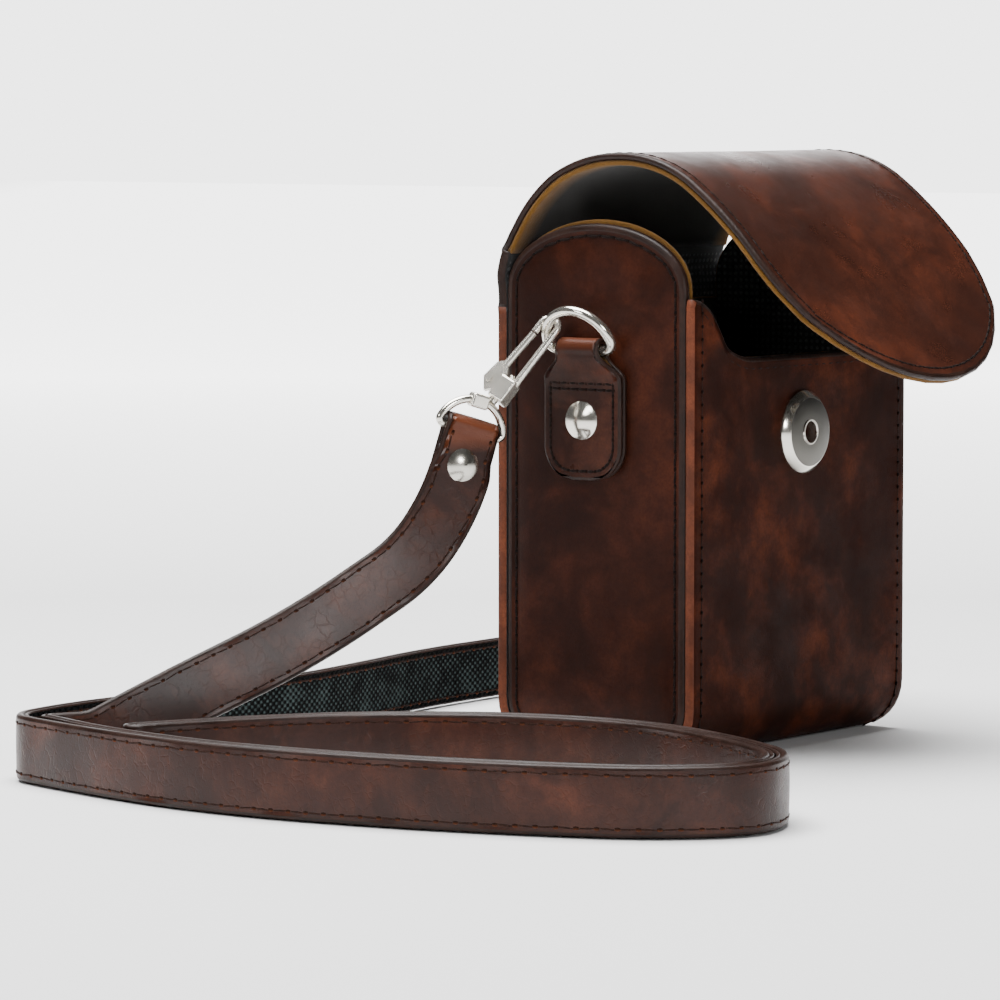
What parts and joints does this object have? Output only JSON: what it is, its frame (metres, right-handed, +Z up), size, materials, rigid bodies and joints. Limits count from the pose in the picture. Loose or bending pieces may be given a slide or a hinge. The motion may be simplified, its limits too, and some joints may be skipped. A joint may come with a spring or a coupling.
{
  "type": "leather camera case",
  "caption": "Tall leather ever ready case with a snap-down front flap, lens cut-out, side D-rings and a clip-on neck strap lying in a loop.",
  "frame": {"origin": "middle of the flat underside of the case", "axes": "+Z up, the front with the snap faces -Y, +X to the right seen from the front"},
  "size_m": [0.3359, 0.1995, 0.1403],
  "materials": {
    "case_leather": "waxed pull-up leather, dark brown, satin gloss",
    "tab_leather": "waxed leather, dark brown, tan where it is folded",
    "suede_lining": "mustard suede, matte",
    "strap_leather": "waxed leather, brown, soft gloss, creased",
    "strap_webbing": "coarse black and teal weave",
    "base_board": "fibre board, matte black cover",
    "nickel": "bright nickel plate",
    "spring_steel": "plain steel wire",
    "magnet": "ferrite ring, matte"
  },
  "bodies": {
    "case": {"body_wrap": "case_leather", "wrap_lining": "suede_lining", "base_board": "base_board", "side_panel_left": "case_leather", "side_panel_right": "case_leather", "side_lining_left": "suede_lining", "side_lining_right": "suede_lining", "snap_socket_cap": "nickel", "snap_magnet": "magnet", "snap_socket_washer": "nickel", "tab_left": "tab_leather", "tab_right": "tab_leather", "tab_rivet_left": "nickel", "tab_rivet_right": "nickel", "strap_leather": "strap_leather", "strap_lining": "strap_webbing", "strap_ring_left": "nickel", "strap_ring_right": "nickel", "swivel_saddle_left": "nickel", "swivel_saddle_right": "nickel", "strap_rivet_left": "nickel", "strap_rivet_right": "nickel"},
    "flap_crown": {"flap_crown": "case_leather", "flap_crown_lining": "suede_lining"},
    "flap_tongue": {"flap_tongue": "case_leather", "flap_tongue_lining": "suede_lining", "snap_stud": "nickel", "snap_stud_washer": "nickel"},
    "ring_left": {"d_ring_left": "nickel"},
    "hook_left": {"hook_body_left": "nickel", "gate_spring_left": "spring_steel", "gate_pin_left": "nickel"},
    "gate_left": {"hook_gate_left": "nickel"},
    "ring_right": {"d_ring_right": "nickel"},
    "hook_right": {"hook_body_right": "nickel", "gate_spring_right": "spring_steel", "gate_pin_right": "nickel"},
    "gate_right": {"hook_gate_right": "nickel"}
  },
  "joints": [
    {"name": "flap_lift", "type": "hinge", "parent": "case", "child": "flap_crown", "pos_m": [0, 0.029, 0.11], "axis": [-1, 0, 0], "range_deg": [0, 150]},
    {"name": "flap_close", "type": "hinge", "parent": "flap_crown", "child": "flap_tongue", "pos_m": [0, -0.00919, 0.12147], "axis": [1, 0, 0], "range_deg": [0, 39.4]},
    {"name": "ring_tilt_left", "type": "hinge", "parent": "case", "child": "ring_left", "pos_m": [-0.04795, 0.0015, 0.0947], "axis": [0, -1, 0], "range_deg": [-2, 6]},
    {"name": "hook_swivel_left", "type": "hinge", "parent": "case", "child": "hook_left", "pos_m": [-0.06564, 0.02067, 0.0762], "axis": [0.5114, -0.367, 0.777], "range_deg": [-10, 10]},
    {"name": "gate_open_left", "type": "hinge", "parent": "hook_left", "child": "gate_left", "pos_m": [-0.05888, 0.01574, 0.08641], "axis": [0.8583, 0.2622, -0.4411], "range_deg": [0, 8.5], "stiffness_Nm_per_rad": 0.003, "springref_deg": -22.92},
    {"name": "ring_tilt_right", "type": "hinge", "parent": "case", "child": "ring_right", "pos_m": [0.04795, 0.0015, 0.0947], "axis": [0, 1, 0], "range_deg": [-2, 6]},
    {"name": "hook_swivel_right", "type": "hinge", "parent": "case", "child": "hook_right", "pos_m": [0.06564, 0.02067, 0.0762], "axis": [-0.5114, -0.367, 0.777], "range_deg": [-10, 10]},
    {"name": "gate_open_right", "type": "hinge", "parent": "hook_right", "child": "gate_right", "pos_m": [0.05888, 0.01574, 0.08641], "axis": [0.8583, -0.2622, 0.4411], "range_deg": [0, 8.5], "stiffness_Nm_per_rad": 0.003, "springref_deg": -22.92}
  ]
}
